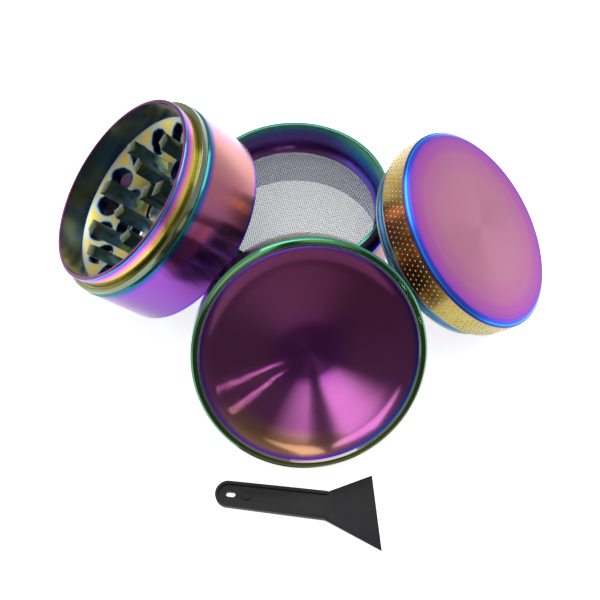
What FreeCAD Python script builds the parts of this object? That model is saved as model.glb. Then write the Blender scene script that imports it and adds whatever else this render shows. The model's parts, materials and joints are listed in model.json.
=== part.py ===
import FreeCAD, Part
import math
import os
import Sketcher
from FreeCAD import Placement, Rotation, Vector

# A hand herb grinder of four turned metal pieces, taken apart and laid out round its sieve chamber,
# with its friction ring, screen, magnets and plastic scraper. Millimetres, +Z up.
# The origin is on the surface that the pieces stand on, in the middle of the whole layout.

DIMS = {
    # Shared by the four turned pieces.
    "body_r": 31.5,
    "edge": 0.5,
    "neck_r": 29.2,
    "neck_edge": 0.3,
    "thread_crest_r": 29.6,
    "female_crest_r": 29.35,
    "female_depth": 5.4,
    "thread_pitch": 1.5,
    "thread_deep": 0.5,
    "thread_half": 0.78,
    "thread_over": 0.2,
    "thread_first": 0.55,
    # Lid, from its open end upwards.
    "lid_height": 13.0,
    "lid_bore_r": 29.5,
    "lid_roof_z": 6.4,
    "lid_chamfer": 0.6,
    "lid_rim_in_r": 29.7,
    "lid_lip_r": 29.2,
    "lid_lip_z": 12.3,
    "lid_cone_out_r": 25.0,
    "lid_cone_out_z": 11.2,
    "lid_cone_in_r": 7.5,
    "lid_cone_in_z": 8.75,
    "lid_centre_z": 8.5,
    "lid_curve_r": 18.0,
    "lid_centre_curve_r": 110.0,
    "lid_post_r": 5.4,
    "lid_post_z": -4.2,
    "lid_pocket_roof_z": -1.9,
    "lid_tooth_z": -5.0,
    # Grinding chamber, from its open foot upwards.
    "chamber_height": 26.0,
    "shoulder_z": 19.4,
    "chamber_bore_r": 28.1,
    "plate_wall_z": 17.8,
    "plate_centre_z": 12.3,
    "plate_flat_r": 13.0,
    "plate_curve_r": 23.4,
    "plate_thick": 3.2,
    "plate_low_z": 13.9,
    "plate_ledge_r": 27.3,
    "plate_ledge_deep": 1.2,
    "under_bore_r": 28.4,
    "tooth_tip_z": 25.2,
    "drop_hole_r": 3.4,
    "drop_hole_chamfer": 0.3,
    "pocket_r": 4.3,
    "pocket_floor_z": 9.6,
    "pocket_boss_r": 6.2,
    "pocket_boss_z": 8.2,
    # Friction ring on the chamber's neck.
    "ring_in_r": 29.28,
    "ring_out_r": 31.1,
    "ring_thick": 2.2,
    "ring_round": 0.7,
    "ring_play": 0.05,
    # Magnets.
    "magnet_r": 3.9,
    "magnet_thick": 1.8,
    # Sieve chamber, from its foot upwards.
    "sieve_height": 29.0,
    "sieve_shoulder_z": 24.5,
    "sieve_bore_r": 28.35,
    "sieve_curve_r": 5.0,
    "sieve_wall_end_z": 22.6,
    "ledge_r": 26.0,
    "ledge_top_z": 19.0,
    "ledge_low_z": 18.6,
    "lower_bore_r": 28.0,
    "snap_groove_r": 28.6,
    # Screen and what holds it.
    "rim_thick": 1.0,
    "rim_out_r": 27.9,
    "rim_in_r": 26.3,
    "mesh_r": 27.1,
    "mesh_thick": 0.3,
    "snap_thick": 0.8,
    "snap_in_r": 26.7,
    "snap_out_r": 28.45,
    "snap_gap_deg": 24.0,
    # Powder catcher, from its flat underside upwards.
    "catcher_height": 14.4,
    "catcher_band_z": 9.8,
    "catcher_flat_r": 29.74,
    "catcher_chamfer_z": 1.1,
    "catcher_bore_r": 27.9,
    "catcher_floor_z": 2.6,
    "catcher_curve_r": 6.0,
    # Scraper, lying flat, from the middle of its handle's round end along +X.
    "handle_length": 31.0,
    "handle_half": 3.5,
    "handle_root_half": 3.85,
    "blade_length": 13.9,
    "blade_half": 10.1,
    "blade_skew": 1.95,
    "scraper_thick": 2.2,
    "cut_over": 1.0,
    "recess_run": 2.0,
    "blade_root_thick": 1.5,
    "blade_edge_thick": 0.6,
    "border": 0.9,
    "hang_slot_x": 4.3,
    "hang_slot_half": 0.62,
    "hang_slot_r": 0.75,
    "pip_x": 8.7,
    "pip_r": 1.2,
    "pip_rise": 0.3,
}

DIMS |= {
    "zero": 0.0,
    "body_edge_r": DIMS["body_r"] - DIMS["edge"],
    "female_mouth_r": DIMS["female_crest_r"] + DIMS["edge"],
    "female_first": DIMS["thread_first"] + DIMS["thread_pitch"] / 2,
    "lid_chamfer_r": DIMS["body_r"] - DIMS["lid_chamfer"],
    "lid_chamfer_z": DIMS["lid_height"] - DIMS["lid_chamfer"],
    "neck_edge_r": DIMS["neck_r"] - DIMS["neck_edge"],
    "neck_edge_z": DIMS["chamber_height"] - DIMS["neck_edge"],
    "shoulder_edge_z": DIMS["shoulder_z"] - DIMS["edge"],
    "plate_boss_z": DIMS["plate_centre_z"] - DIMS["plate_thick"],
    "ring_low_z": DIMS["shoulder_z"] + DIMS["ring_play"],
    "ring_top_z": DIMS["shoulder_z"] + DIMS["ring_thick"],
    "ring_round_r": DIMS["ring_out_r"] - DIMS["ring_round"],
    "ring_round_z": DIMS["shoulder_z"] + DIMS["ring_thick"] - DIMS["ring_round"],
    "crest_edge_r": DIMS["thread_crest_r"] - DIMS["neck_edge"],
    "sieve_neck_edge_z": DIMS["sieve_height"] - DIMS["neck_edge"],
    "sieve_shoulder_edge_z": DIMS["sieve_shoulder_z"] - DIMS["edge"],
    "rim_low_z": DIMS["ledge_low_z"] - DIMS["rim_thick"],
    "mesh_low_z": DIMS["ledge_low_z"] - (DIMS["rim_thick"] + DIMS["mesh_thick"]) / 2,
    "mesh_top_z": DIMS["ledge_low_z"] - (DIMS["rim_thick"] - DIMS["mesh_thick"]) / 2,
    "snap_low_z": DIMS["ledge_low_z"] - DIMS["rim_thick"] - DIMS["snap_thick"],
    "ledge_step_z": DIMS["plate_low_z"] - DIMS["plate_ledge_deep"],
    "scraper_over_z": DIMS["scraper_thick"] + DIMS["cut_over"],
    "slot_near_x": DIMS["hang_slot_x"] - DIMS["hang_slot_half"],
    "slot_far_x": DIMS["hang_slot_x"] + DIMS["hang_slot_half"],
    "snap_turn": 360 - DIMS["snap_gap_deg"],
    "catcher_neck_edge_z": DIMS["catcher_height"] - DIMS["neck_edge"],
    "catcher_band_edge_z": DIMS["catcher_band_z"] - DIMS["edge"],
    "catcher_curve_end_r": DIMS["catcher_bore_r"] - DIMS["catcher_curve_r"],
    "catcher_curve_end_z": DIMS["catcher_floor_z"] + DIMS["catcher_curve_r"],
    "handle_root_x": DIMS["handle_length"],
    "handle_top_x": DIMS["handle_half"],
    "blade_near_x": DIMS["handle_length"] + DIMS["blade_length"] - DIMS["blade_skew"],
    "blade_far_x": DIMS["handle_length"] + DIMS["blade_length"] + DIMS["blade_skew"],
    "recess_half": DIMS["handle_half"] - DIMS["border"],
    "recess_root_half": DIMS["handle_root_half"] - DIMS["border"],
    "recess_end_x": DIMS["handle_length"] + DIMS["recess_run"],
}

THREAD_TURNS = 3

# A cut that takes away less than this, in cubic millimetres, has missed its piece.
LEAST_CUT = 0.1

# How far an edge's size and height may be from a drop hole's for it to count as that hole's edge.
EDGE_SLACK = 0.01

# Where the sieve chamber stands, and from its axis, where each other piece lies: a point on the
# piece's own axis and the way that axis leans.
SIEVE_AT = Vector(-3.02, 35.42, 0.0)
LID_TOP = Vector(4.82, -60.08, 30.95)
LID_UP = Vector(0.12, -0.683, 0.714).normalize()
CHAMBER_TOP = Vector(-51.37, -8.99, 39.84)
CHAMBER_UP = Vector(-0.636, -0.073, 0.768).normalize()
CATCHER_FACE = Vector(55.93, -15.06, 29.52)
CATCHER_UP = Vector(-0.608, 0.129, -0.783).normalize()
SCRAPER_END = Vector(-21.7, -86.85, 0.0)
SCRAPER_TURN = -6.7

# Tooth rings: radius, half radial width, and the angle of each tooth in degrees.
CHAMBER_TEETH = [
    (8.6, 1.6, [-128, 0, 115]),
    (14.2, 1.6, [160, 53, -61]),
    (19.8, 1.6, [57, 105, 9, -39]),
]
LID_TEETH = [
    (11.4, 0.7, [30, 150, 270]),
    (17.0, 0.7, [0, 90, 180, 270]),
    (22.6, 0.7, [15, 75, 135, 195, 255, 315]),
]
TOOTH_HALF_LENGTH = 2.4
TOOTH_SKEW = 0.9

# Drop holes: ring radius and the angle of each hole in degrees.
DROP_HOLES = [
    (23.0, [-146 + 24 * n for n in range(15)]),
    (14.2, [126, 88, 22, -22, -96, -134]),
    (8.6, [176, 60, -64]),
]

pieces = []


def make_document():
    doc = FreeCAD.newDocument("grinder")
    sheet = doc.addObject("Spreadsheet::Sheet", "dims")
    for row, (alias, value) in enumerate(DIMS.items(), start=1):
        cell = f"A{row}"
        sheet.set(cell, str(value))
        sheet.setAlias(cell, alias)
    doc.recompute()
    return doc, sheet


def lying(base, up):
    """The placement that stands a piece on base, from the sieve's axis, with its +Z along up.

    The piece's own X lies level, so angles about its axis count from there.
    """
    across = Vector(0, 0, 1).cross(up)
    tilt = Rotation(across, math.degrees(Vector(0, 0, 1).getAngle(up)))
    level = Rotation(Vector(0, 0, 1), math.degrees(math.atan2(across.y, across.x)))
    return Placement(SIEVE_AT + base, tilt * level)


def keep(obj, label, placement):
    obj.Label = label
    obj.Placement = placement
    pieces.append(obj)
    return obj


def reading(sheet, cell):
    """A cell's number, or its opposite where the name starts with a minus sign."""
    return -sheet.get(cell[1:]) if cell[0] == "-" else sheet.get(cell)


def formula(cell):
    return f"-dims.{cell[1:]}" if cell[0] == "-" else f"dims.{cell}"


def sketch_on(body, name, role):
    sketch = body.newObject("Sketcher::SketchObject", name)
    plane = next(f for f in body.Origin.OriginFeatures if f.Role == role)
    sketch.AttachmentSupport = [(plane, "")]
    sketch.MapMode = "FlatFace"
    sketch.Visibility = False
    return sketch


def bind(sketch, kind, place, value, expression):
    """A dimension from the sketch's origin, or of one curve, that follows an expression."""
    start = (-1, 1) if kind.startswith("Distance") else ()
    number = sketch.addConstraint(Sketcher.Constraint(kind, *start, *place, value))
    sketch.setExpression(f"Constraints[{number}]", expression)


def outline_sketch(body, sheet, name, outline, role="XZ_Plane"):
    """A closed outline on one of the body's own planes, every corner bound to two sheet cells.

    A corner is (across, up), or (across, up, arc radius, side) where an arc leads from it to the
    next corner, with its centre on the left (side 1) or right (side -1) of the way there. An arc
    radius of None makes a half circle between two corners that lie one above the other.
    """
    sketch = sketch_on(body, name, role)
    corners = [Vector(reading(sheet, c[0]), reading(sheet, c[1]), 0) for c in outline]
    starts, ends = [], []
    for n, corner in enumerate(outline):
        here, there = corners[n], corners[(n + 1) % len(corners)]
        turns_left = True
        if len(corner) == 2:
            sketch.addGeometry(Part.LineSegment(here, there), False)
        else:
            half = (there - here) * 0.5
            radius = sheet.get(corner[2]) if corner[2] else half.Length
            side = corner[3]
            left = Vector(-half.y, half.x, 0).normalize()
            reach = math.sqrt(max(radius**2 - half.Length**2, 0))
            centre = here + half + left * (side * reach)
            middle = centre - left * (side * radius)
            turns_left = side > 0
            first, last = (here, there) if turns_left else (there, here)
            sketch.addGeometry(Part.Arc(first, middle, last), False)
        starts.append((n, 1 if turns_left else 2))
        ends.append((n, 2 if turns_left else 1))
    for n, corner in enumerate(outline):
        sketch.addConstraint(Sketcher.Constraint("Coincident", *ends[n - 1], *starts[n]))
        bind(sketch, "DistanceX", starts[n], corners[n].x, formula(corner[0]))
        bind(sketch, "DistanceY", starts[n], corners[n].y, formula(corner[1]))
        if len(corner) > 2 and corner[2]:
            bind(sketch, "Radius", (n,), sheet.get(corner[2]), formula(corner[2]))
        elif len(corner) > 2:
            bind(sketch, "DistanceX", (n, 3), corners[n].x, formula(corner[0]))
    return sketch


def turned(doc, sheet, label, outline, placement, angle=None):
    """A turned piece: an outline of radius and height, revolved about the piece's own Z axis."""
    body = doc.addObject("PartDesign::Body", label)
    sketch = outline_sketch(body, sheet, f"{label}_outline", outline)
    turn = body.newObject("PartDesign::Revolution", f"{label}_turn")
    turn.Profile = sketch
    turn.ReferenceAxis = (sketch, ["V_Axis"])
    turn.Angle = 360
    if angle:
        turn.setExpression("Angle", formula(angle))
    doc.recompute()
    return keep(body, label, placement)


def cut_thread(doc, body, crest, middle, outward):
    """Ring grooves at the thread's pitch. crest is the sheet cell of the surface that is cut,
    middle the height of the first groove, and outward is true in a bore.
    """
    label = body.Label
    sketch = sketch_on(body, f"{label}_thread", "XZ_Plane")
    sign = 1 if outward else -1
    mouth, root = DIMS[crest] - sign * DIMS["thread_over"], DIMS[crest] + sign * DIMS["thread_deep"]
    half = DIMS["thread_half"]
    corners = [(mouth, middle - half), (root, middle), (mouth, middle + half)]
    mouth_formula = f"dims.{crest} - {sign} * dims.thread_over"
    root_formula = f"dims.{crest} + {sign} * dims.thread_deep"
    formulas = [
        (mouth_formula, f"{middle} - dims.thread_half"),
        (root_formula, f"{middle}"),
        (mouth_formula, f"{middle} + dims.thread_half"),
    ]
    for n, (across, up) in enumerate(corners):
        after = corners[(n + 1) % 3]
        sketch.addGeometry(Part.LineSegment(Vector(across, up, 0), Vector(*after, 0)), False)
    for n, (across, up) in enumerate(corners):
        sketch.addConstraint(Sketcher.Constraint("Coincident", (n - 1) % 3, 2, n, 1))
        bind(sketch, "DistanceX", (n, 1), across, formulas[n][0])
        bind(sketch, "DistanceY", (n, 1), up, formulas[n][1])
    before = body.Shape.Volume
    groove = body.newObject("PartDesign::Groove", f"{label}_groove")
    groove.Profile = sketch
    groove.ReferenceAxis = (sketch, ["V_Axis"])
    groove.Angle = 360
    doc.recompute()
    rows = body.newObject("PartDesign::LinearPattern", f"{label}_grooves")
    rows.Originals = [groove]
    rows.Direction = (sketch, ["V_Axis"])
    rows.Mode = "Spacing"
    rows.setExpression("Offset", "dims.thread_pitch")
    rows.Occurrences = THREAD_TURNS
    body.Tip = rows
    doc.recompute()
    if body.Shape.Volume > before - LEAST_CUT:
        raise RuntimeError(f"the thread of {label} cut nothing")


def teeth(doc, label, rings, low, high, placement, base=None):
    """Separate four-sided posts on rings about Z, with two sides along their ring and two skewed.

    Where the posts stand on a dished base, what lies inside or under it is cut away.
    """
    posts = []
    for radius, half_width, angles in rings:
        for angle in angles:
            corners = [(half_width, TOOTH_SKEW - TOOTH_HALF_LENGTH), (half_width, TOOTH_HALF_LENGTH)]
            corners += [(-across, -along) for across, along in corners]
            wire = Part.makePolygon([Vector(radius + x, y, low) for x, y in corners + corners[:1]])
            post = Part.Face(wire).extrude(Vector(0, 0, high - low))
            post.rotate(Vector(0, 0, 0), Vector(0, 0, 1), angle)
            if base:
                post = max(post.cut(base).Solids, key=lambda solid: solid.CenterOfMass.z)
            posts.append(post)
    group = doc.addObject("Part::Feature", label)
    group.Shape = Part.makeCompound(posts)
    return keep(group, label, placement)


def disc(doc, label, radius, height, low, placement):
    """A plain disc whose underside is at height low on the axis of the piece that holds it."""
    cylinder = doc.addObject("Part::Cylinder", label)
    cylinder.setExpression("Radius", f"dims.{radius}")
    cylinder.setExpression("Height", f"dims.{height}")
    return keep(cylinder, label, placement * Placement(Vector(0, 0, low), Rotation()))


def lid(doc, sheet):
    place = lying(LID_TOP - LID_UP * DIMS["lid_height"], LID_UP)
    outline = [
        ("zero", "lid_pocket_roof_z"),
        ("magnet_r", "lid_pocket_roof_z"),
        ("magnet_r", "lid_post_z"),
        ("lid_post_r", "lid_post_z"),
        ("lid_post_r", "lid_roof_z"),
        ("lid_bore_r", "lid_roof_z"),
        ("lid_bore_r", "zero"),
        ("body_edge_r", "zero"),
        ("body_r", "edge"),
        ("body_r", "lid_chamfer_z"),
        ("lid_chamfer_r", "lid_height"),
        ("lid_rim_in_r", "lid_height"),
        ("lid_lip_r", "lid_lip_z", "lid_curve_r", -1),
        ("lid_cone_out_r", "lid_cone_out_z"),
        ("lid_cone_in_r", "lid_cone_in_z", "lid_centre_curve_r", -1),
        ("zero", "lid_centre_z"),
    ]
    turned(doc, sheet, "lid_shell", outline, place)
    teeth(doc, "lid_teeth", LID_TEETH, DIMS["lid_tooth_z"], DIMS["lid_roof_z"], place)
    magnet_low = DIMS["lid_pocket_roof_z"] - DIMS["magnet_thick"]
    disc(doc, "lid_magnet", "magnet_r", "magnet_thick", magnet_low, place)


def grinding_chamber(doc, sheet):
    place = lying(CHAMBER_TOP - CHAMBER_UP * DIMS["chamber_height"], CHAMBER_UP)
    shell_outline = [
        ("female_crest_r", "edge"),
        ("female_mouth_r", "zero"),
        ("body_edge_r", "zero"),
        ("body_r", "edge"),
        ("body_r", "shoulder_edge_z"),
        ("body_edge_r", "shoulder_z"),
        ("neck_r", "shoulder_z"),
        ("neck_r", "neck_edge_z"),
        ("neck_edge_r", "chamber_height"),
        ("chamber_bore_r", "chamber_height"),
        ("chamber_bore_r", "plate_low_z"),
        ("plate_ledge_r", "plate_low_z"),
        ("plate_ledge_r", "ledge_step_z"),
        ("under_bore_r", "ledge_step_z"),
        ("under_bore_r", "female_depth"),
        ("female_crest_r", "female_depth"),
    ]
    shell = turned(doc, sheet, "chamber_shell", shell_outline, place)
    cut_thread(doc, shell, "female_crest_r", DIMS["female_first"], True)
    plate_outline = [
        ("zero", "pocket_boss_z"),
        ("pocket_boss_r", "pocket_boss_z"),
        ("pocket_boss_r", "plate_boss_z"),
        ("plate_flat_r", "plate_boss_z", "plate_curve_r", 1),
        ("plate_ledge_r", "plate_low_z"),
        ("chamber_bore_r", "plate_low_z"),
        ("chamber_bore_r", "plate_wall_z", "plate_curve_r", -1),
        ("plate_flat_r", "plate_centre_z"),
        ("pocket_r", "plate_centre_z"),
        ("pocket_r", "pocket_floor_z"),
        ("zero", "pocket_floor_z"),
    ]
    plate = turned(doc, sheet, "tooth_plate", plate_outline, place)
    solid_plate = plate.Shape.copy()
    solid_plate.Placement = Placement()
    cut_drop_holes(doc, sheet, plate)
    low, high = DIMS["plate_boss_z"], DIMS["tooth_tip_z"]
    teeth(doc, "chamber_teeth", CHAMBER_TEETH, low, high, place, solid_plate)
    disc(doc, "chamber_magnet", "magnet_r", "magnet_thick", DIMS["pocket_floor_z"], place)
    ring_outline = [
        ("ring_in_r", "ring_low_z"),
        ("ring_out_r", "ring_low_z"),
        ("ring_out_r", "ring_round_z", "ring_round", 1),
        ("ring_round_r", "ring_top_z"),
        ("ring_in_r", "ring_top_z"),
    ]
    turned(doc, sheet, "friction_ring", ring_outline, place)


def cut_drop_holes(doc, sheet, plate):
    """Round holes through the tooth plate, each with a small chamfer on its upper edge."""
    sketch = sketch_on(plate, "drop_holes", "XY_Plane")
    radius = DIMS["drop_hole_r"]
    for ring, angles in DROP_HOLES:
        for angle in angles:
            turn = math.radians(angle)
            centre = Vector(ring * math.cos(turn), ring * math.sin(turn), 0)
            circle = sketch.addGeometry(Part.Circle(centre, Vector(0, 0, 1), radius), False)
            bind(sketch, "DistanceX", (circle, 3), centre.x, str(centre.x))
            bind(sketch, "DistanceY", (circle, 3), centre.y, str(centre.y))
            bind(sketch, "Radius", (circle,), radius, "dims.drop_hole_r")
    before = plate.Shape.Volume
    holes = plate.newObject("PartDesign::Pocket", "holes")
    holes.Profile = sketch
    holes.Type = "ThroughAll"
    holes.Midplane = True
    doc.recompute()
    if plate.Shape.Volume > before - LEAST_CUT:
        raise RuntimeError("the drop holes cut nothing")
    upper = [
        f"Edge{n}"
        for n, edge in enumerate(holes.Shape.Edges, start=1)
        if abs(edge.BoundBox.XLength - 2 * radius) < EDGE_SLACK
        and abs(edge.BoundBox.YLength - 2 * radius) < EDGE_SLACK
        and edge.BoundBox.ZMin > DIMS["plate_centre_z"] - EDGE_SLACK
    ]
    chamfer = plate.newObject("PartDesign::Chamfer", "hole_edges")
    chamfer.Base = (holes, upper)
    chamfer.setExpression("Size", "dims.drop_hole_chamfer")
    plate.Tip = chamfer
    doc.recompute()


def sieve_chamber(doc, sheet):
    place = Placement(SIEVE_AT, Rotation())
    outline = [
        ("female_crest_r", "edge"),
        ("female_mouth_r", "zero"),
        ("body_edge_r", "zero"),
        ("body_r", "edge"),
        ("body_r", "sieve_shoulder_edge_z"),
        ("body_edge_r", "sieve_shoulder_z"),
        ("thread_crest_r", "sieve_shoulder_z"),
        ("thread_crest_r", "sieve_neck_edge_z"),
        ("crest_edge_r", "sieve_height"),
        ("sieve_bore_r", "sieve_height"),
        ("sieve_bore_r", "sieve_wall_end_z", "sieve_curve_r", -1),
        ("ledge_r", "ledge_top_z"),
        ("ledge_r", "ledge_low_z"),
        ("lower_bore_r", "ledge_low_z"),
        ("lower_bore_r", "rim_low_z"),
        ("snap_groove_r", "rim_low_z"),
        ("snap_groove_r", "snap_low_z"),
        ("lower_bore_r", "snap_low_z"),
        ("lower_bore_r", "female_depth"),
        ("female_crest_r", "female_depth"),
    ]
    shell = turned(doc, sheet, "sieve_shell", outline, place)
    cut_thread(doc, shell, "female_crest_r", DIMS["female_first"], True)
    male_first = DIMS["sieve_shoulder_z"] + DIMS["thread_first"]
    cut_thread(doc, shell, "thread_crest_r", male_first, False)
    rim_outline = [
        ("rim_in_r", "rim_low_z"),
        ("rim_out_r", "rim_low_z"),
        ("rim_out_r", "ledge_low_z"),
        ("rim_in_r", "ledge_low_z"),
        ("rim_in_r", "mesh_top_z"),
        ("mesh_r", "mesh_top_z"),
        ("mesh_r", "mesh_low_z"),
        ("rim_in_r", "mesh_low_z"),
    ]
    turned(doc, sheet, "screen_rim", rim_outline, place)
    disc(doc, "screen_mesh", "mesh_r", "mesh_thick", DIMS["mesh_low_z"], place)
    snap_outline = [
        ("snap_in_r", "snap_low_z"),
        ("snap_out_r", "snap_low_z"),
        ("snap_out_r", "rim_low_z"),
        ("snap_in_r", "rim_low_z"),
    ]
    turned(doc, sheet, "screen_snap_ring", snap_outline, place, "snap_turn")


def powder_catcher(doc, sheet):
    outline = [
        ("zero", "zero"),
        ("catcher_flat_r", "zero"),
        ("body_r", "catcher_chamfer_z"),
        ("body_r", "catcher_band_edge_z"),
        ("body_edge_r", "catcher_band_z"),
        ("thread_crest_r", "catcher_band_z"),
        ("thread_crest_r", "catcher_neck_edge_z"),
        ("crest_edge_r", "catcher_height"),
        ("catcher_bore_r", "catcher_height"),
        ("catcher_bore_r", "catcher_curve_end_z", "catcher_curve_r", -1),
        ("catcher_curve_end_r", "catcher_floor_z"),
        ("zero", "catcher_floor_z"),
    ]
    shell = turned(doc, sheet, "catcher_shell", outline, lying(CATCHER_FACE, CATCHER_UP))
    male_first = DIMS["catcher_band_z"] + DIMS["thread_first"]
    cut_thread(doc, shell, "thread_crest_r", male_first, False)


def scraper(doc, sheet):
    body = doc.addObject("PartDesign::Body", "scraper")
    outline = [
        ("handle_top_x", "handle_half", None, 1),
        ("handle_top_x", "-handle_half"),
        ("handle_root_x", "-handle_root_half"),
        ("blade_far_x", "-blade_half"),
        ("blade_near_x", "blade_half"),
        ("handle_root_x", "handle_root_half"),
    ]
    pad = body.newObject("PartDesign::Pad", "scraper_blank")
    pad.Profile = outline_sketch(body, sheet, "scraper_outline", outline, "XY_Plane")
    pad.setExpression("Length", "dims.scraper_thick")
    wedge = [
        ("handle_root_x", "blade_root_thick"),
        ("blade_far_x", "blade_edge_thick"),
        ("blade_far_x", "scraper_over_z"),
        ("handle_root_x", "scraper_over_z"),
    ]
    through_pocket(doc, body, "blade_taper", outline_sketch(body, sheet, "taper", wedge))
    slot = [
        ("slot_near_x", "hang_slot_r", None, 1),
        ("slot_near_x", "-hang_slot_r"),
        ("slot_far_x", "-hang_slot_r", None, 1),
        ("slot_far_x", "hang_slot_r"),
    ]
    through_pocket(doc, body, "hang_slot", outline_sketch(body, sheet, "slot", slot, "XY_Plane"))
    recess = [
        ("handle_top_x", "recess_half", None, 1),
        ("handle_top_x", "-recess_half"),
        ("recess_end_x", "-recess_root_half"),
        ("recess_end_x", "recess_root_half"),
    ]
    sketch = outline_sketch(body, sheet, "recess", recess, "XY_Plane")
    sketch.setExpression("AttachmentOffset.Base.z", "dims.scraper_thick")
    before = body.Shape.Volume
    hollow = body.newObject("PartDesign::Pocket", "handle_recess")
    hollow.Profile = sketch
    hollow.setExpression("Length", "dims.scraper_thick - dims.blade_root_thick")
    doc.recompute()
    if body.Shape.Volume > before - LEAST_CUT:
        raise RuntimeError("the scraper's recess cut nothing")
    pip = sketch_on(body, "pip", "XY_Plane")
    pip.setExpression("AttachmentOffset.Base.z", "dims.blade_root_thick")
    pip.addGeometry(Part.Circle(Vector(DIMS["pip_x"], 0, 0), Vector(0, 0, 1), DIMS["pip_r"]), False)
    bind(pip, "DistanceX", (0, 3), DIMS["pip_x"], "dims.pip_x")
    pip.addConstraint(Sketcher.Constraint("PointOnObject", 0, 3, -1))
    bind(pip, "Radius", (0,), DIMS["pip_r"], "dims.pip_r")
    rise = body.newObject("PartDesign::Pad", "scraper_pip")
    rise.Profile = pip
    rise.setExpression("Length", "dims.pip_rise")
    doc.recompute()
    place = Placement(SIEVE_AT + SCRAPER_END, Rotation(Vector(0, 0, 1), SCRAPER_TURN))
    keep(body, "scraper", place)


def through_pocket(doc, body, name, sketch):
    doc.recompute()
    before = body.Shape.Volume
    pocket = body.newObject("PartDesign::Pocket", name)
    pocket.Profile = sketch
    pocket.Type = "ThroughAll"
    pocket.Midplane = True
    doc.recompute()
    if body.Shape.Volume > before - LEAST_CUT:
        raise RuntimeError(f"{name} cut nothing")


def check(doc):
    for obj in doc.Objects:
        if "Invalid" in obj.State or "Error" in obj.State:
            raise RuntimeError(f"{obj.Label} failed: {obj.State}")
    for piece in pieces:
        if piece.Shape.isNull() or not piece.Shape.isValid():
            raise RuntimeError(f"{piece.Label} has no valid shape")


def main():
    doc, sheet = make_document()
    lid(doc, sheet)
    grinding_chamber(doc, sheet)
    sieve_chamber(doc, sheet)
    powder_catcher(doc, sheet)
    scraper(doc, sheet)
    doc.recompute()
    check(doc)
    os.makedirs("parts", exist_ok=True)
    for piece in pieces:
        piece.Shape.exportStep(f"parts/{piece.Label}.step")
        print(piece.Label, round(piece.Shape.Volume, 1), piece.Shape.BoundBox)


main()
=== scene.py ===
"""A rainbow-coated hand grinder, taken apart and laid out on a white table, with its scraper."""

import json
import math

import bmesh
import bpy
from mathutils import Matrix, Vector


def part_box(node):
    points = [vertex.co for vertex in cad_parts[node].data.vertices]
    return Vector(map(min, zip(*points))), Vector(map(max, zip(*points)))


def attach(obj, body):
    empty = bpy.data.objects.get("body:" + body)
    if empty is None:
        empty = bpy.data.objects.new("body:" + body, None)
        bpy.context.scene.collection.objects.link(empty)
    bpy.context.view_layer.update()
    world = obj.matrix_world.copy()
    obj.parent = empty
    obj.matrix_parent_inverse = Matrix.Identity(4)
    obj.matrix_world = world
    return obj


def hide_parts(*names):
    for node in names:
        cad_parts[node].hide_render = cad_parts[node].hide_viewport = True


MM = 0.001
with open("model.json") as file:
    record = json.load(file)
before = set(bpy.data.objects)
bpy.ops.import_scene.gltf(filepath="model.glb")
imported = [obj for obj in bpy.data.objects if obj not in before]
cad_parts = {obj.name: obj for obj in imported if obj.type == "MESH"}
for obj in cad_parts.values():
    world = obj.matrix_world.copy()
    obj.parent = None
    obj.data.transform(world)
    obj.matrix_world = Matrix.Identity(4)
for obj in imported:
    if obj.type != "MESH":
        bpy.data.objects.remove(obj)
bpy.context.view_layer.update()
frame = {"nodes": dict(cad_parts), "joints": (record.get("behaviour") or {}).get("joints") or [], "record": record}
JOINTS = {joint["name"]: joint for joint in frame["joints"]}
MOUNTS = {mount["name"]: mount for mount in frame["record"]["mounts"]}


# ------------------------------------------------------------------ sizes, in millimetres

BODY_R = 31.5
NECK_R = 29.2
CREST_R = 29.6
BORE_CREST_R = 29.35
FEMALE_TOP = 5.4
THREAD_DEEP = 0.5
THREAD_PITCH = 1.5
THREAD_ROW = 0.15
EDGE = 0.5
FINE_EDGE = 0.15
TURNS = 240

LID_HEIGHT = 13.0
CHAMBER_HEIGHT = 26.0
SHOULDER = 19.4
SIEVE_HEIGHT = 29.0
SIEVE_SHOULDER = 24.5
CATCHER_HEIGHT = 14.4
CATCHER_BAND = 9.8

KNURL_ROWS = 5
KNURL_PITCH = 1.62
KNURL_R = 0.27
KNURL_RISE = 0.16

WIRE_PITCH = 0.66
WIRE_R = 0.135
SCREEN_R = 26.9

# Drop holes of the tooth plate: ring radius with the number of holes and the first one's angle
# in degrees, then each inner ring's radius with its angles.
OUTER_HOLES = (23.0, 15, -146)
INNER_HOLES = [(14.2, (126, 88, 22, -22, -96, -134)), (8.6, (176, 60, -64))]

# The camera, from the middle of the sieve chamber's foot.
CAMERA_AT = (1.8, -146.6, 194.0)
CAMERA_TILT = 32.6
LENS = 42.0
SENSOR = 36.0

# The room, in metres, with its light as shares of full white.
TABLE_SIZE = 3.0
TABLE_GLOW = 0.75
ROOM_NEAR_VIEWER = 0.13
ROOM_FAR_SIDE = 0.75
WINDOW_DISTANCE = 1.2
CEILING_DISTANCE = 1.3
LAMP_SIZE = (0.006, 0.006)
LAMP_RADIANCE = 80.0


# ------------------------------------------------------------------ where each piece lies


def stand(origin, up):
    """From a turned piece's own millimetres, +Z along its axis and +X level, to the row frame."""
    up = Vector(up).normalized()
    level = Vector((0, 0, 1)).cross(up)
    level = level.normalized() if level.length > MM else Vector((1, 0, 0))
    turn = Matrix((level, up.cross(level), up)).transposed().to_4x4()
    return Matrix.Translation(origin) @ turn @ Matrix.Scale(MM, 4)


def centre(node):
    low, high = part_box(node)
    return (low + high) / 2


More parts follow.
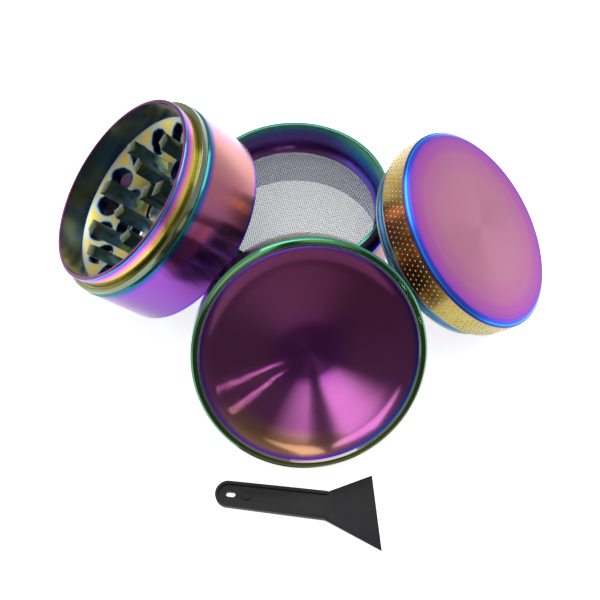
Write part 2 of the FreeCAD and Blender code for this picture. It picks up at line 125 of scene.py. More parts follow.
def find_places():
    """Each turned piece's own frame, with its height 0 at its open end, foot or flat face."""
    lid_up = Vector(JOINTS["lid_lift"]["axis"])
    chamber_up = Vector(JOINTS["friction_ring_turn"]["axis"])
    chamber_top = Vector(JOINTS["friction_ring_turn"]["pos_m"])
    sieve_foot = centre("sieve_shell")
    sieve_foot.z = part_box("sieve_shell")[0].z
    face = MOUNTS["catcher_face"]
    magnet_middle = -2.8 * MM
    return {
        "lid": stand(centre("lid_magnet") - lid_up * magnet_middle, lid_up),
        "chamber": stand(chamber_top - chamber_up * CHAMBER_HEIGHT * MM, chamber_up),
        "sieve": stand(sieve_foot, (0, 0, 1)),
        "catcher": stand(Vector(face["pos_m"]), -Vector(face["axis"])),
    }


PLACES = find_places()


# ------------------------------------------------------------------ shapes


def add_piece(name, verts, faces, place, body, replaced=(), sharp=35):
    mesh = bpy.data.meshes.new(name)
    mesh.from_pydata(verts, [], faces)
    mesh.validate()
    mesh.polygons.foreach_set("use_smooth", [True] * len(mesh.polygons))
    mesh.set_sharp_from_angle(angle=math.radians(sharp))
    piece = bpy.data.objects.new(name, mesh)
    bpy.context.scene.collection.objects.link(piece)
    piece.matrix_world = place
    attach(piece, body)
    if replaced:
        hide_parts(*replaced)
    return piece


def finish_piece(piece, material):
    piece.data.materials.clear()
    piece.data.materials.append(material)


def arc(start, end, radius, side, steps=24):
    """Points from start to end along an arc whose centre is on the left (1) or right (-1)."""
    here, there = Vector(start), Vector(end)
    half = (there - here) / 2
    left = Vector((-half.y, half.x)).normalized()
    middle = here + half + left * side * math.sqrt(radius**2 - half.length_squared)
    first = here - middle
    sweep = first.angle_signed(there - middle)
    points = []
    for step in range(1, steps):
        turn = Matrix.Rotation(-sweep * step / steps, 2)
        points.append((*(middle + turn @ first), 0))
    return points


def soften(corners, steps=4):
    """A closed outline of (r, z, rounding, groove depth) rows, each corner rounded as it asks."""
    rows = []
    for n, corner in enumerate(corners):
        r, z, rounding, *rest = corner
        here = Vector((r, z))
        before = Vector(corners[n - 1][:2]) - here
        after = Vector(corners[(n + 1) % len(corners)][:2]) - here
        if rounding <= 0:
            rows.append((r, z, rest[0] if rest else 0))
            continue
        reach = rounding / math.tan(before.angle(after) / 2)
        reach = min(reach, before.length * 0.45, after.length * 0.45)
        start = here + before.normalized() * reach
        end = here + after.normalized() * reach
        for step in range(steps + 1):
            t = step / steps
            point = start * (1 - t) ** 2 + here * 2 * t * (1 - t) + end * t**2
            rows.append((point.x, point.y, 0))
    return rows


def thread_rows(radius, low, high, rising):
    """Outline rows for a helical groove between two heights, as deep as it gets in the middle."""
    count = round((high - low) / THREAD_ROW)
    rows = []
    for k in range(count + 1):
        t = k / count
        z = low + (high - low) * (t if rising else 1 - t)
        depth = THREAD_DEEP * min(1, 6 * min(t, 1 - t))
        rows.append((radius, z, 0, depth))
    return rows


def lathe(name, corners, place, body, replaced=(), inward=False):
    """A closed outline turned about Z. A row with a groove depth follows the thread's helix."""
    rows = soften(corners)
    sign = 1 if inward else -1
    verts, rings = [], []
    for r, z, depth in rows:
        if r < 1e-4:
            rings.append([len(verts)] * TURNS)
            verts.append((0, 0, z))
            continue
        rings.append(list(range(len(verts), len(verts) + TURNS)))
        for k in range(TURNS):
            share = k / TURNS
            wave = abs(2 * ((z / THREAD_PITCH - share) % 1) - 1) if depth else 0
            at = r + sign * depth * wave
            angle = 2 * math.pi * share
            verts.append((at * math.cos(angle), at * math.sin(angle), z))
    faces = []
    for n, ring in enumerate(rings):
        following = rings[(n + 1) % len(rings)]
        for k in range(TURNS):
            after = (k + 1) % TURNS
            loop = [ring[k], ring[after], following[after], following[k]]
            face = list(dict.fromkeys(loop))
            if len(face) > 2:
                faces.append(face)
    return add_piece(name, verts, faces, place, body, replaced)


def soft_copy(name, node, place, body, bevel, segments=2, flat=12, sharp=40):
    """A CAD node's own shape, with its sharp edges rounded, in the piece's own millimetres."""
    mesh = bpy.data.meshes.new(name)
    shape = bmesh.new()
    shape.from_mesh(frame["nodes"][node].data)
    bmesh.ops.remove_doubles(shape, verts=shape.verts, dist=MM * 0.002)
    shape.transform(place.inverted())
    bmesh.ops.dissolve_limit(
        shape, angle_limit=math.radians(1), verts=shape.verts, edges=shape.edges
    )
    edges = [e for e in shape.edges if e.is_manifold and e.calc_face_angle(0) > math.radians(flat)]
    bmesh.ops.bevel(
        shape, geom=edges, offset=bevel, segments=segments, profile=0.5, affect="EDGES",
        clamp_overlap=True,
    )
    bmesh.ops.recalc_face_normals(shape, faces=shape.faces)
    shape.to_mesh(mesh)
    shape.free()
    mesh.polygons.foreach_set("use_smooth", [True] * len(mesh.polygons))
    mesh.set_sharp_from_angle(angle=math.radians(sharp))
    piece = bpy.data.objects.new(name, mesh)
    bpy.context.scene.collection.objects.link(piece)
    piece.matrix_world = place
    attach(piece, body)
    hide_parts(node)
    return piece


# ------------------------------------------------------------------ materials


def colour(code):
    """A linear colour from the usual six hexadecimal figures."""
    parts = [int(code[n : n + 2], 16) / 255 for n in (0, 2, 4)]
    return (*[p / 12.92 if p <= 0.04045 else ((p + 0.055) / 1.055) ** 2.4 for p in parts], 1)


class Paint:
    """A material whose colours are worked out from the piece's own millimetres and axis."""

    def __init__(self, name, place=None):
        self.material = bpy.data.materials.new(name)
        self.material.use_nodes = True
        tree = self.material.node_tree
        self.nodes, self.links = tree.nodes, tree.links
        self.shader = self.nodes["Principled BSDF"]
        point = self.nodes.new("ShaderNodeTexCoord").outputs["Object"]
        if place:
            mapping = self.nodes.new("ShaderNodeMapping")
            mapping.vector_type = "TEXTURE"
            mapping.inputs["Location"].default_value = place.translation
            mapping.inputs["Rotation"].default_value = place.to_euler()
            mapping.inputs["Scale"].default_value = (MM, MM, MM)
            self.links.new(point, mapping.inputs["Vector"])
            point = mapping.outputs["Vector"]
        self.point = point
        split = self.nodes.new("ShaderNodeSeparateXYZ")
        self.links.new(point, split.inputs[0])
        self.x, self.y, self.z = split.outputs
        flat = self.math("ADD", self.math("POWER", self.x, 2), self.math("POWER", self.y, 2))
        self.radius = self.math("SQRT", flat)
        self.angle = self.math("DEGREES", self.math("ARCTAN2", self.y, self.x))

    def feed(self, socket, value):
        if isinstance(value, bpy.types.NodeSocket):
            self.links.new(value, socket)
        else:
            socket.default_value = value

    def math(self, operation, *values, clamp=False):
        node = self.nodes.new("ShaderNodeMath")
        node.operation = operation
        node.use_clamp = clamp
        for socket, value in zip(node.inputs, values):
            self.feed(socket, value)
        return node.outputs[0]

    def vector(self, x, y, z=0.0):
        node = self.nodes.new("ShaderNodeCombineXYZ")
        for socket, value in zip(node.inputs, (x, y, z)):
            self.feed(socket, value)
        return node.outputs[0]

    def share(self, value, low, high, smooth=True):
        """0 where value is low or less, 1 where it is high or more. low may be above high."""
        node = self.nodes.new("ShaderNodeMapRange")
        node.interpolation_type = "SMOOTHSTEP" if smooth else "LINEAR"
        self.feed(node.inputs["Value"], value)
        node.inputs["From Min"].default_value = low
        node.inputs["From Max"].default_value = high
        return node.outputs["Result"]

    def band(self, value, low, high, soft):
        rise = self.share(value, low - soft, low + soft)
        fall = self.share(value, high - soft, high + soft)
        return self.math("SUBTRACT", rise, fall, clamp=True)

    def ramp(self, value, stops):
        """A colour for each value between the first stop and the last, as {value: colour}."""
        low, high = min(stops), max(stops)
        node = self.nodes.new("ShaderNodeValToRGB")
        node.color_ramp.interpolation = "EASE"
        elements = node.color_ramp.elements
        while len(elements) < len(stops):
            elements.new(0.5)
        for element, (at, code) in zip(elements, sorted(stops.items())):
            element.position = (at - low) / (high - low)
            element.color = colour(code)
        self.links.new(self.share(value, low, high, smooth=False), node.inputs["Fac"])
        return node.outputs["Color"]

    def mix(self, share, first, second):
        node = self.nodes.new("ShaderNodeMix")
        node.data_type = "RGBA"
        self.feed(node.inputs["Factor"], share)
        for socket, value in ((node.inputs[6], first), (node.inputs[7], second)):
            self.feed(socket, colour(value) if isinstance(value, str) else value)
        return node.outputs[2]

    def noise(self, vector, scale, detail=2.0, rough=0.5):
        node = self.nodes.new("ShaderNodeTexNoise")
        self.links.new(vector, node.inputs["Vector"])
        node.inputs["Scale"].default_value = scale
        node.inputs["Detail"].default_value = detail
        node.inputs["Roughness"].default_value = rough
        return node.outputs["Fac"]

    def rings(self, scale):
        """Noise that changes only with radius and height: the marks that turning leaves."""
        return self.noise(self.vector(self.radius, self.z), scale, 3.0)

    def bump(self, height, depth_mm, strength=1.0):
        node = self.nodes.new("ShaderNodeBump")
        node.inputs["Distance"].default_value = depth_mm * MM
        node.inputs["Strength"].default_value = strength
        self.links.new(height, node.inputs["Height"])
        self.links.new(node.outputs["Normal"], self.shader.inputs["Normal"])

    def metal(self, base, roughness, stretch=0.0):
        """Metal with this base colour, its highlights drawn out across the turning marks."""
        inputs = self.shader.inputs
        self.feed(inputs["Base Color"], base)
        self.feed(inputs["Roughness"], roughness)
        inputs["Metallic"].default_value = 1.0
        if stretch:
            inputs["Anisotropic"].default_value = stretch
            inputs["Anisotropic Rotation"].default_value = 0.25
            tangent = self.nodes.new("ShaderNodeTangent")
            tangent.direction_type = "RADIAL"
            tangent.axis = "Z"
            self.links.new(tangent.outputs["Tangent"], inputs["Tangent"])

    def turned_finish(self, base, roughness=0.22, stretch=0.75, depth_mm=0.002):
        fine = self.rings(7.0)
        rough = self.math("MULTIPLY_ADD", fine, 0.12, roughness - 0.06)
        self.metal(base, rough, stretch)
        self.bump(fine, depth_mm)


def lid_paint():
    """Plum with a golden low edge on the dish, which is a painted reflection, and green round the rim; painted
    shade darkens the dish's middle, and the hues that drift round by angle are partly painted light.
    """
    paint = Paint("coated_metal")
    # Painted light in part: the dish's hue drifts round by angle and is lighter near -60 degrees.
    face = paint.ramp(paint.angle, {-180: "9C5488", -60: "B060A4", 60: "8C4470", 180: "9C5488"})
    # Painted shade: the dish turns a darker violet towards its middle, inside 15 mm.
    middle = paint.share(paint.radius, 15.0, 5.0)
    face = paint.mix(paint.math("MULTIPLY", middle, 0.7), face, "7A2C86")
    # Painted reflection: a golden patch on the dish's outer part, between -150 and -82 degrees.
    lip_reflection = paint.math(
        "MULTIPLY", paint.share(paint.radius, 20.0, 26.0), paint.band(paint.angle, -150, -82, 16)
    )
    face = paint.mix(paint.math("MULTIPLY", lip_reflection, 0.8), face, "C89860")
    # Painted reflection in part: round the rim's inner edge the hue drifts by angle, with a brighter blue near -50
    # degrees.
    edge = paint.ramp(
        paint.angle,
        {-180: "5C38A0", -100: "7A38B8", -50: "3868D8", 20: "54348C", 180: "5C38A0"},
    )
    face = paint.mix(paint.share(paint.radius, 27.6, 29.2), face, edge)
    # Painted light in part: the rim's hue drifts by angle and is a little lighter near -90 degrees.
    rim = paint.ramp(paint.angle, {-180: "607850", -90: "7C7C54", 50: "4C7850", 180: "607850"})
    base = paint.mix(paint.share(paint.radius, 29.2, 29.5), face, rim)
    # Painted highlight in part: the chamfer is a lighter teal near 60 degrees.
    chamfer = paint.ramp(
        paint.angle, {-180: "508868", -90: "5C8058", 60: "489C78", 180: "508868"}
    )
    base = paint.mix(paint.share(paint.radius, 30.75, 31.0), base, chamfer)
    side = paint.ramp(paint.z, {0: "4A4880", 2: "8A7A50", 6: "6A5A48", 10: "A09868", 12.3: "4A6A78"})
    outside = paint.math(
        "MULTIPLY", paint.share(paint.z, 12.5, 12.2), paint.share(paint.radius, 31.0, 31.2)
    )
    base = paint.mix(outside, base, side)
    inside = paint.ramp(paint.radius, {5: "8A8A60", 14: "5A7080", 24: "8A8050", 29: "4A6078"})
    under = paint.math(
        "MULTIPLY", paint.share(paint.z, 8.3, 8.0), paint.share(paint.radius, 30.0, 29.7)
    )
    base = paint.mix(under, base, inside)
    paint.turned_finish(base, roughness=0.1, stretch=0.95, depth_mm=0.001)
    return paint.material


def chamber_paint():
    """Violet to copper and pink round the side, the pink end partly painted light, a rainbow up the neck, dark
    blue inside with painted shade low in the bore and patches that are partly painted reflection.
    """
    paint = Paint("chamber_metal")
    # Painted light in part: the side's hue drifts round by angle and grows lighter towards 90 and 120 degrees.
    body = paint.ramp(
        paint.angle,
        {-60: "B088C0", -10: "8850B0", 30: "8C44A8", 65: "B06878", 90: "CC8C88", 120: "D098C8"},
    )
    edge = paint.ramp(
        paint.z,
        {
            -0.2: "50A0E0", 0.6: "4030E0", 1.6: "8030D0", 16.4: "8030C0",
            17.6: "3A48C0", 18.8: "1C6880", 19.4: "3C8078",
        },
    )
    near_edge = paint.math(
        "MAXIMUM", paint.share(paint.z, 1.8, 0.4), paint.share(paint.z, 16.4, 18.6)
    )
    body = paint.mix(near_edge, body, edge)
    neck = paint.ramp(
        paint.z,
        {
            19.4: "3A3A28", 21.6: "B8B058", 22.5: "F0D058", 23.6: "F0A098",
            24.4: "D868D0", 25.1: "6858D8", 25.7: "4098B0", 26: "50B8B0",
        },
    )
    base = paint.mix(paint.share(paint.z, 19.3, 19.5), body, neck)
    rim = paint.share(paint.z, 25.75, 25.9)
    base = paint.mix(rim, base, "7A3070")
    # Painted reflection in part: blue and olive patches on the inner wall.
    patches = paint.noise(paint.vector(paint.x, paint.y, paint.z), 0.09, 1.0)
    wall = paint.mix(paint.share(patches, 0.42, 0.62), "6A88A8", "9A9860")
    # Painted shade: the inner wall darkens towards the bottom of the bore.
    deep = paint.ramp(paint.z, {13: "405878", 18: "7898B8", 24: "889078", 26: "8A5A80"})
    wall = paint.mix(0.45, wall, deep)
    inside = paint.math(
        "MULTIPLY", paint.share(paint.radius, 28.6, 28.3), paint.share(paint.z, 25.95, 25.7)
    )
    base = paint.mix(inside, base, wall)
    female = paint.math(
        "MULTIPLY", paint.share(paint.radius, 30.2, 29.95), paint.share(paint.z, 13.0, 12.0)
    )
    base = paint.mix(female, base, "6A7A70")
    paint.turned_finish(base, roughness=0.2, stretch=0.7, depth_mm=0.0015)
    return paint.material


def plate_paint(place):
    """Gold between the drop holes, pale steel blue along the wall, and round each hole a pale steel-blue halo that
    is partly a painted reflection; painted shade darkens each hole's rim, the holes and the plate's underside.
    """
    paint = Paint("plate_metal", place)
    ring, count, first = OUTER_HOLES
    step = 360 / count
    turn = paint.math("WRAP", paint.math("SUBTRACT", paint.angle, first), step / 2, -step / 2)
    aside = paint.math("MULTIPLY", paint.math("RADIANS", turn), paint.radius)
    out = paint.math("SUBTRACT", paint.radius, ring)
    near = paint.math(
        "SQRT", paint.math("ADD", paint.math("POWER", aside, 2), paint.math("POWER", out, 2))
    )
    for radius, angles in INNER_HOLES:
        for angle in angles:
            turn = math.radians(angle)
            away_x = paint.math("SUBTRACT", paint.x, radius * math.cos(turn))
            away_y = paint.math("SUBTRACT", paint.y, radius * math.sin(turn))
            flat = paint.math(
                "ADD", paint.math("POWER", away_x, 2), paint.math("POWER", away_y, 2)
            )
            near = paint.math("MINIMUM", near, paint.math("SQRT", flat))
    near = paint.math("ADD", near, paint.math("MULTIPLY", paint.noise(paint.point, 0.5), 0.8))
    # Painted shade: dark at each hole's rim. Painted reflection in part: the pale steel-blue halo round it.
    base = paint.ramp(
        near,
        {3.85: "16203A", 4.1: "48688C", 4.35: "A4B8C4", 4.9: "C8C490", 5.8: "DCC46C", 9.0: "E8D07C"},
    )
    base = paint.mix(paint.share(paint.radius, 27.2, 28.1), base, "98B4C8")
    # Painted shade: everything below 11.6 mm, in the holes and under the plate, is dark navy.
    deep = paint.share(paint.z, 12.1, 11.6)
    base = paint.mix(deep, base, "1C2844")
    paint.metal(base, paint.math("MULTIPLY_ADD", paint.rings(4.0), 0.15, 0.3))
    paint.bump(paint.rings(3.0), 0.004)
    return paint.material


def tooth_paint(name, tip, root):
    """Teeth with olive tips and blue roots. tip and root are heights."""
    paint = Paint(name)
    patches = paint.noise(paint.point, 0.35, 2.0)
    side = paint.ramp(
        paint.share(paint.z, root, tip, smooth=False),
        {0: "8FB2D8", 0.3: "5C88A8", 0.75: "527484", 0.97: "48584C", 1: "3E4834"},
    )
    base = paint.mix(paint.share(patches, 0.5, 0.7), side, "5C6040")
    scuffed = paint.noise(paint.point, 2.5, 4.0, 0.7)
    paint.metal(base, paint.math("MULTIPLY_ADD", scuffed, 0.3, 0.2))
    paint.bump(scuffed, 0.01)
    return paint.material


def sieve_paint():
    """Purple inside, turning teal towards the rim, and lighter on the right side, partly as painted light, with a
    rainbow up the outside.
    """
    paint = Paint("sieve_metal")
    back = paint.ramp(
        paint.z,
        {18.6: "5A3064", 21: "643478", 23.5: "584080", 25.2: "484488", 26.4: "3A5880", 27.6: "486870",
         29: "4A7868"},
    )
    # Painted light in part: the right side of the inner wall is lighter and bluer than the back and the left.
    right = paint.ramp(
        paint.z,
        {18.6: "6A50B8", 21: "4A50B8", 23.2: "2868B8", 25: "2088A8", 26.6: "3CA890", 27.8: "78A07C",
         29: "4A7868"},
    )
    left = paint.ramp(
        paint.z,
        {18.6: "6A4058", 23: "643C58", 25.6: "563C60", 27.2: "486070", 29: "4A7868"},
    )
    inner = paint.mix(paint.share(paint.angle, 70, 35), back, right)
    inner = paint.mix(paint.share(paint.angle, 105, 150), inner, left)
    outer = paint.ramp(
        paint.z,
        {0: "50B0E0", 0.8: "4030D0", 3: "8A38C8", 12: "C868A8", 20: "C89858", 23: "9040D0",
         24.2: "3080E0", 24.6: "506048", 27: "8A8A50", 28.4: "A09058"},
    )
    base = paint.mix(paint.share(paint.radius, 28.9, 29.1), inner, outer)
    rim = paint.share(paint.z, 28.55, 28.75)
    base = paint.mix(rim, base, "4A9A80")
    under = paint.share(paint.z, 18.5, 18.3)
    hidden = paint.math("MULTIPLY", under, paint.share(paint.radius, 30.2, 29.95))
    base = paint.mix(hidden, base, "5A5A70")
    paint.turned_finish(base, roughness=0.2, stretch=0.8, depth_mm=0.002)
    return paint.material


def catcher_paint():
    """A pink face with an azure edge, and a gold band whose lighter ends are partly painted light."""
    paint = Paint("catcher_metal")
    face = paint.ramp(
        paint.radius,
        {0: "C08098", 16: "C07C98", 23: "BC6CA0", 27: "B050B0", 29.0: "A040C0", 29.7: "5840D8"},
    )
    sweep = paint.noise(paint.vector(paint.x, paint.y), 0.03, 1.0)
    face = paint.mix(paint.math("MULTIPLY", sweep, 0.35), face, "C080A8")
    # Painted light in part: the band's hue drifts round by angle and is lighter near -60 and 120 degrees.
    around = paint.ramp(
        paint.angle,
        {-60: "C8C488", 0: "B0A458", 45: "A07048", 80: "A89048", 120: "C8BC70"},
    )
    blotches = paint.noise(paint.point, 0.28, 3.0, 0.6)
    around = paint.mix(paint.math("MULTIPLY", blotches, 0.25), around, "803828")
    base = paint.mix(paint.share(paint.z, 1.15, 1.45), face, around)
    chamfer = paint.math(
        "MULTIPLY", paint.share(paint.radius, 29.8, 30.0), paint.share(paint.z, 1.6, 1.1)
    )
    azure = paint.ramp(
        paint.radius, {29.8: "7038D0", 30.5: "3058E0", 30.9: "20A0F8", 31.2: "3048B8", 31.5: "502880"}
    )
    base = paint.mix(chamfer, base, azure)
    neck = paint.ramp(
        paint.z,
        {9.3: "4468A8", 11.0: "7C9090", 12.4: "4070A0", 14.4: "7C9490"},
    )
    base = paint.mix(paint.share(paint.z, 9.3, 9.6), base, neck)
    hollow = paint.math(
        "MULTIPLY", paint.share(paint.radius, 28.3, 28.0), paint.share(paint.z, 2.4, 2.55)
    )
    base = paint.mix(hollow, base, "6A3A90")
    on_face = paint.share(paint.z, 0.5, 0.2)
    fine = paint.rings(7.0)
    rough = paint.math("MULTIPLY_ADD", on_face, 0.16, 0.22)
    paint.metal(base, paint.math("MULTIPLY_ADD", fine, 0.08, rough), stretch=0.5)
    paint.bump(fine, 0.002)
    return paint.material


def knurl_paint():
    paint = Paint("knurl_metal")
    base = paint.mix(paint.share(paint.noise(paint.point, 0.3), 0.4, 0.6), "E0D8C0", "B8A060")
    paint.metal(base, paint.math("MULTIPLY_ADD", paint.noise(paint.point, 1.5), 0.1, 0.18))
    return paint.material


def ring_paint():
    paint = Paint("ring_finish")
    base = paint.ramp(paint.z, {19.4: "708078", 21.6: "7C8464"})
    fine = paint.noise(paint.vector(paint.radius, paint.z), 2.0)
    paint.metal(base, paint.math("MULTIPLY_ADD", fine, 0.1, 0.12))
    return paint.material


def steel_paint(name, light, dark, roughness, place=None):
    """Bare steel with a faint grain. A CAD node's own mesh needs the place of its body's axis."""
    paint = Paint(name, place)
    grain = paint.noise(paint.point, 1.3, 3.0)
    paint.metal(
        paint.mix(grain, dark, light), paint.math("MULTIPLY_ADD", grain, 0.15, roughness)
    )
    return paint.material


def plastic_paint():
    """Black moulded plastic with a fine sparked grain."""
    paint = Paint("scraper_plastic")
    grain = paint.noise(paint.point, 5.0, 3.0, 0.6)
    cloud = paint.noise(paint.point, 0.25, 2.0)
    base = paint.mix(cloud, "08080A", "101014")
    paint.feed(paint.shader.inputs["Base Color"], base)
    paint.feed(
        paint.shader.inputs["Roughness"], paint.math("MULTIPLY_ADD", grain, 0.2, 0.42)
    )
    paint.shader.inputs["IOR"].default_value = 1.5
    paint.shader.inputs["Specular IOR Level"].default_value = 0.3
    paint.bump(grain, 0.02, 0.6)
    return paint.material


# ------------------------------------------------------------------ the lid


def build_lid(coat, teeth, nickel):
    place = PLACES["lid"]
    cone_out, cone_in = (25.0, 11.2), (7.5, 8.75)
    corners = [
        (0, -1.9, 0), (3.9, -1.9, 0), (3.9, -4.2, 0.2), (5.4, -4.2, 0.3), (5.4, 6.4, 0.5),
        (29.5, 6.4, 0.5), (29.5, 0, FINE_EDGE), (31, 0, 0.1), (BODY_R, EDGE, 0.1),
        (BODY_R, 12.4, 0.12), (30.9, LID_HEIGHT, 0.12), (29.7, LID_HEIGHT, FINE_EDGE),
        (29.2, 12.3, 0.2), *arc((29.2, 12.3), cone_out, 18.0, -1), (*cone_out, 0),
        *arc(cone_out, cone_in, 400.0, -1, 8), (*cone_in, 0),
        *arc(cone_in, (0, 8.5), 110.0, -1, 10), (0, 8.5, 0),
    ]
    shell = lathe("lid_turned", corners, place, "lid", ["lid_shell"])
    finish_piece(shell, coat)
    finish_piece(soft_copy("lid_posts", "lid_teeth", place, "lid", 0.18), teeth)
    magnet = [(0, -3.7, 0), (3.9, -3.7, 0.25), (3.9, -1.9, 0.25), (0, -1.9, 0)]
    disc = lathe("lid_magnet_disc", magnet, place, "lid", ["lid_magnet"])
    finish_piece(disc, nickel)


def knurl_dots(name, place, body, middle):
    """Staggered rows of small domes round a band, about a height on the piece's axis."""
    count = round(2 * math.pi * BODY_R / KNURL_PITCH)
    verts, faces = [], []
    sides = 8
    levels = [(KNURL_R, -0.03), (KNURL_R * 0.8, KNURL_RISE * 0.6), (KNURL_R * 0.4, KNURL_RISE)]
    for row in range(KNURL_ROWS):
        z = middle + (row - (KNURL_ROWS - 1) / 2) * KNURL_PITCH * 0.9
        for k in range(count):
            turn = Matrix.Rotation(2 * math.pi * (k + row % 2 / 2) / count, 3, "Z")
            first = len(verts)
            for reach, rise in levels:
                for side in range(sides):
                    angle = 2 * math.pi * side / sides
                    across, up = reach * math.cos(angle), reach * math.sin(angle)
                    verts.append(turn @ Vector((BODY_R + rise, across, z + up)))
            for level in range(len(levels) - 1):
                low = first + level * sides
                for side in range(sides):
                    after = (side + 1) % sides
                    faces.append(
                        (low + side, low + after, low + sides + after, low + sides + side)
                    )
            top = first + (len(levels) - 1) * sides
            faces.append(tuple(top + side for side in range(sides)))
    return add_piece(name, verts, faces, place, body, sharp=180)


# ------------------------------------------------------------------ the grinding chamber


def build_chamber(coat, teeth, nickel, ring_coat):
    place = PLACES["chamber"]
    corners = [
        (BORE_CREST_R, EDGE, 0.1), (29.85, 0, 0.1), (31, 0, 0.1), (BODY_R, EDGE, 0.12),
        (BODY_R, SHOULDER - EDGE, 0.12), (31, SHOULDER, 0.12), (NECK_R, SHOULDER, 0.1),
        (NECK_R, 25.7, 0.15), (28.9, CHAMBER_HEIGHT, 0.15), (28.1, CHAMBER_HEIGHT, 0.15),
        (28.1, 13.9, 0), (27.3, 13.9, 0), (27.3, 12.7, 0.1), (28.4, 12.7, 0.1),
        (28.4, FEMALE_TOP, 0.1), (BORE_CREST_R, FEMALE_TOP, 0.1),
        *thread_rows(BORE_CREST_R, EDGE + 0.1, 5.1, False),
    ]
    shell = lathe("chamber_turned", corners, place, "chamber", ["chamber_shell"], inward=True)
    finish_piece(shell, coat)
    posts = soft_copy("chamber_posts", "chamber_teeth", place, "chamber", 0.16)
    finish_piece(posts, teeth)
    magnet = [(0, 9.6, 0), (3.9, 9.6, 0.25), (3.9, 11.4, 0.3), (0, 11.4, 0)]
    disc = lathe("chamber_magnet_disc", magnet, place, "chamber", ["chamber_magnet"])
    finish_piece(disc, nickel)
    low, high = SHOULDER + 0.05, SHOULDER + 2.2
    ring = [
        (29.28, low, 0.1), (31.1, low, 0.3), (31.1, high, 0.7), (30.2, high, 0.15),
        (30.0, high - 0.25, 0.15), (29.28, high - 0.25, 0.1),
    ]
    band = lathe("friction_band", ring, place, "friction_ring", ["friction_ring"])
    finish_piece(band, ring_coat)
    plate = frame["nodes"]["tooth_plate"]
    plate.data.materials.clear()
    plate.data.materials.append(plate_paint(place))


# ------------------------------------------------------------------ the sieve chamber


def build_sieve(coat, wire):
    place = PLACES["sieve"]
    curve = arc((28.35, 22.6), (26.0, 19.0), 5.0, -1, 12)
    corners = [
        (BORE_CREST_R, EDGE, 0.1), (29.85, 0, 0.1), (31, 0, 0.1), (BODY_R, EDGE, 0.12),
        (BODY_R, SIEVE_SHOULDER - EDGE, 0.12), (31, SIEVE_SHOULDER, 0.12),
        (CREST_R, SIEVE_SHOULDER, 0.05),
        *thread_rows(CREST_R, SIEVE_SHOULDER + 0.1, SIEVE_HEIGHT - 0.35, True),
        (29.3, SIEVE_HEIGHT, FINE_EDGE), (28.35, SIEVE_HEIGHT, FINE_EDGE), (28.35, 22.6, 0),
        *curve, (26, 19, 0.1), (26, 18.6, 0.1), (28, 18.6, 0), (28, 17.6, 0), (28.6, 17.6, 0),
        (28.6, 16.8, 0), (28, 16.8, 0.1), (28, FEMALE_TOP, 0.1), (BORE_CREST_R, FEMALE_TOP, 0.1),
    ]
    shell = lathe("sieve_turned", corners, place, "sieve", ["sieve_shell"])
    finish_piece(shell, coat)
    middle = (centre("screen_mesh").z - place.translation.z) / MM
    for name, across in (("screen_warp", True), ("screen_weft", False)):
        screen = wires(name, place, middle, across)
        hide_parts("screen_mesh")
        finish_piece(screen, wire)
    for node in ("screen_rim", "screen_snap_ring"):
        frame["nodes"][node].data.materials.clear()
        frame["nodes"][node].data.materials.append(
            steel_paint(f"{node}_steel", "C8C8C8", "808488", 0.25, place)
        )


def wires(name, place, middle, across):
    """Half of a plain weave: parallel wires that pass over and under the other half's."""
    count = int(SCREEN_R / WIRE_PITCH)
    lean = math.radians(12)
    sides = 4
    verts, faces = [], []
    for row in range(-count, count + 1):
        offset = row * WIRE_PITCH
        reach = int(math.sqrt(SCREEN_R**2 - offset**2) / WIRE_PITCH)
        first = len(verts)
        samples = range(-2 * reach, 2 * reach + 1)
        for n in samples:
            along = n * WIRE_PITCH / 2
            parity = 1 if across else -1
            rise = 0 if n % 2 else WIRE_R * parity * (1 if (n // 2 + row) % 2 else -1)
            x, y = (along, offset) if across else (offset, along)
            side_x, side_y = (0, 1) if across else (1, 0)
            for side in range(sides):
                angle = 2 * math.pi * side / sides
                out, up = WIRE_R * math.cos(angle), WIRE_R * math.sin(angle)
                px, py = x + side_x * out, y + side_y * out
                verts.append(
                    (
                        px * math.cos(lean) - py * math.sin(lean),
                        px * math.sin(lean) + py * math.cos(lean),
                        middle + rise + up,
                    )
                )
        for ring in range(len(samples) - 1):
            low = first + ring * sides
            for side in range(sides):
                after = (side + 1) % sides
                faces.append((low + side, low + after, low + sides + after, low + sides + side))
    return add_piece(name, verts, faces, place, "sieve", sharp=180)


# ------------------------------------------------------------------ the powder catcher


def build_catcher(coat, knurl):
    place = PLACES["catcher"]
    corners = [
        (0, 0, 0), (29.74, 0, 0.2), (BODY_R, 1.1, 0.2), (BODY_R, CATCHER_BAND - EDGE, 0.12),
        (31, CATCHER_BAND, 0.12), (CREST_R, CATCHER_BAND, 0.05),
        *thread_rows(CREST_R, CATCHER_BAND + 0.1, CATCHER_HEIGHT - 0.35, True),
        (29.3, CATCHER_HEIGHT, FINE_EDGE), (27.9, CATCHER_HEIGHT, FINE_EDGE), (27.9, 8.6, 0),
        *arc((27.9, 8.6), (21.9, 2.6), 6.0, -1, 12), (21.9, 2.6, 0), (0, 2.6, 0),
    ]
    shell = lathe("catcher_turned", corners, place, "catcher", ["catcher_shell"])
    finish_piece(shell, coat)
    dots = knurl_dots("catcher_knurl", place, "catcher", 5.3)
    finish_piece(dots, knurl)


# ------------------------------------------------------------------ the scraper


def build_scraper(plastic):
    low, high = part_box("scraper")
    place = Matrix.Translation((low.x, low.y, 0)) @ Matrix.Scale(MM, 4)
    piece = soft_copy("scraper_moulding", "scraper", place, "scraper", 0.14, 3, 25)
    finish_piece(piece, plastic)


# ------------------------------------------------------------------ table, light and camera


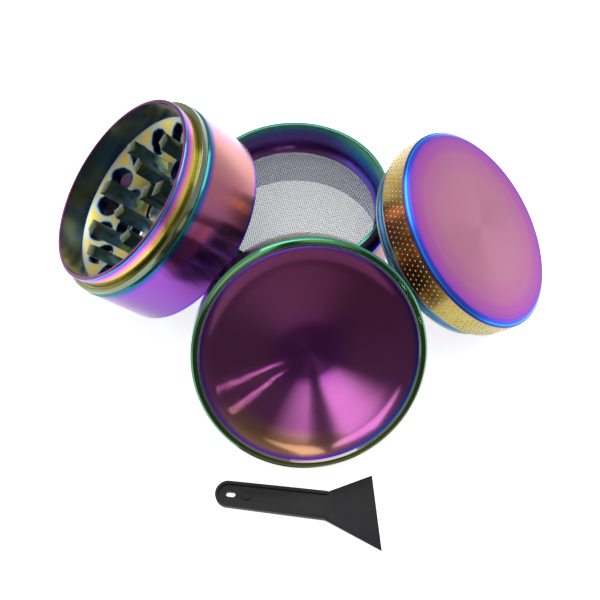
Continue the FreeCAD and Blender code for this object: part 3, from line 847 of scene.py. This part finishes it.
def softbox(name, towards, distance, size, radiance):
    """A square-cornered light at a distance along a direction, facing the layout."""
    data = bpy.data.lights.new(name, "AREA")
    data.shape = "RECTANGLE"
    data.size, data.size_y = size
    data.energy = radiance * math.pi * size[0] * size[1]
    lamp = bpy.data.objects.new(name, data)
    direction = Vector(towards).normalized()
    lamp.location = direction * distance
    lamp.rotation_euler = direction.to_track_quat("Z", "Y").to_euler()
    bpy.context.scene.collection.objects.link(lamp)


def set_stage():
    bpy.ops.mesh.primitive_plane_add(size=TABLE_SIZE)
    floor = bpy.context.object
    floor.name = "table"
    paint = Paint("white_table")
    paint.shader.inputs["Base Color"].default_value = (0.9, 0.9, 0.9, 1)
    paint.shader.inputs["Roughness"].default_value = 0.9
    paint.shader.inputs["Emission Color"].default_value = (1, 1, 1, 1)
    paint.shader.inputs["Emission Strength"].default_value = TABLE_GLOW
    floor.data.materials.append(paint.material)
    world = bpy.data.worlds.new("room")
    world.use_nodes = True
    nodes, links = world.node_tree.nodes, world.node_tree.links
    direction = nodes.new("ShaderNodeTexCoord").outputs["Generated"]
    split = nodes.new("ShaderNodeSeparateXYZ")
    away = nodes.new("ShaderNodeMapRange")
    away.interpolation_type = "SMOOTHSTEP"
    away.inputs["From Min"].default_value = -0.8
    away.inputs["From Max"].default_value = -0.1
    away.inputs["To Min"].default_value = ROOM_NEAR_VIEWER
    away.inputs["To Max"].default_value = ROOM_FAR_SIDE
    links.new(direction, split.inputs[0])
    links.new(split.outputs["Y"], away.inputs["Value"])
    links.new(away.outputs["Result"], nodes["Background"].inputs["Strength"])
    nodes["Background"].inputs["Color"].default_value = (0.95, 0.97, 1, 1)
    bpy.context.scene.world = world


def aim(azimuth, elevation):
    """A direction, with azimuth 0 towards the viewer and 90 to the right, in degrees."""
    a, e = math.radians(azimuth), math.radians(elevation)
    return (math.sin(a) * math.cos(e), -math.cos(a) * math.cos(e), math.sin(e))


def set_lights():
    """Two windows and two small lamps that the lid reflects, a ceiling light and a dim room."""
    softbox("window_left", aim(7, 43), WINDOW_DISTANCE, (0.22, 0.24), 2.0)
    softbox("window_right", aim(22, 46), WINDOW_DISTANCE, (0.12, 0.3), 1.5)
    softbox("overhead", (0, 0.35, 1), CEILING_DISTANCE, (1.1, 0.8), 3.0)
    softbox("room_glow", aim(16, 12), CEILING_DISTANCE, (0.8, 0.4), 0.32)
    softbox("lamp_low", aim(27.8, 30.4), WINDOW_DISTANCE, LAMP_SIZE, LAMP_RADIANCE)
    softbox("lamp_high", aim(27, 33.5), WINDOW_DISTANCE, LAMP_SIZE, LAMP_RADIANCE)


def set_camera():
    data = bpy.data.cameras.new("camera")
    data.lens = LENS
    data.sensor_width = SENSOR
    data.clip_start = 0.01
    camera = bpy.data.objects.new("camera", data)
    camera.location = PLACES["sieve"].translation + Vector(CAMERA_AT) * MM
    camera.rotation_euler = (math.radians(CAMERA_TILT), 0, 0)
    bpy.context.scene.collection.objects.link(camera)
    bpy.context.scene.camera = camera


def main():
    nickel = steel_paint("magnet_nickel", "E8E8EA", "B0B4B8", 0.12)
    build_lid(lid_paint(), tooth_paint("lid_tooth_metal", -5.0, 6.4), nickel)
    build_chamber(
        chamber_paint(), tooth_paint("chamber_tooth_metal", 25.2, 13.0), nickel, ring_paint()
    )
    build_sieve(sieve_paint(), steel_paint("steel_wire", "D8DADC", "A0A4A8", 0.25))
    build_catcher(catcher_paint(), knurl_paint())
    build_scraper(plastic_paint())
    set_stage()
    set_lights()
    set_camera()
    bpy.context.scene.view_settings.view_transform = "Standard"


main()
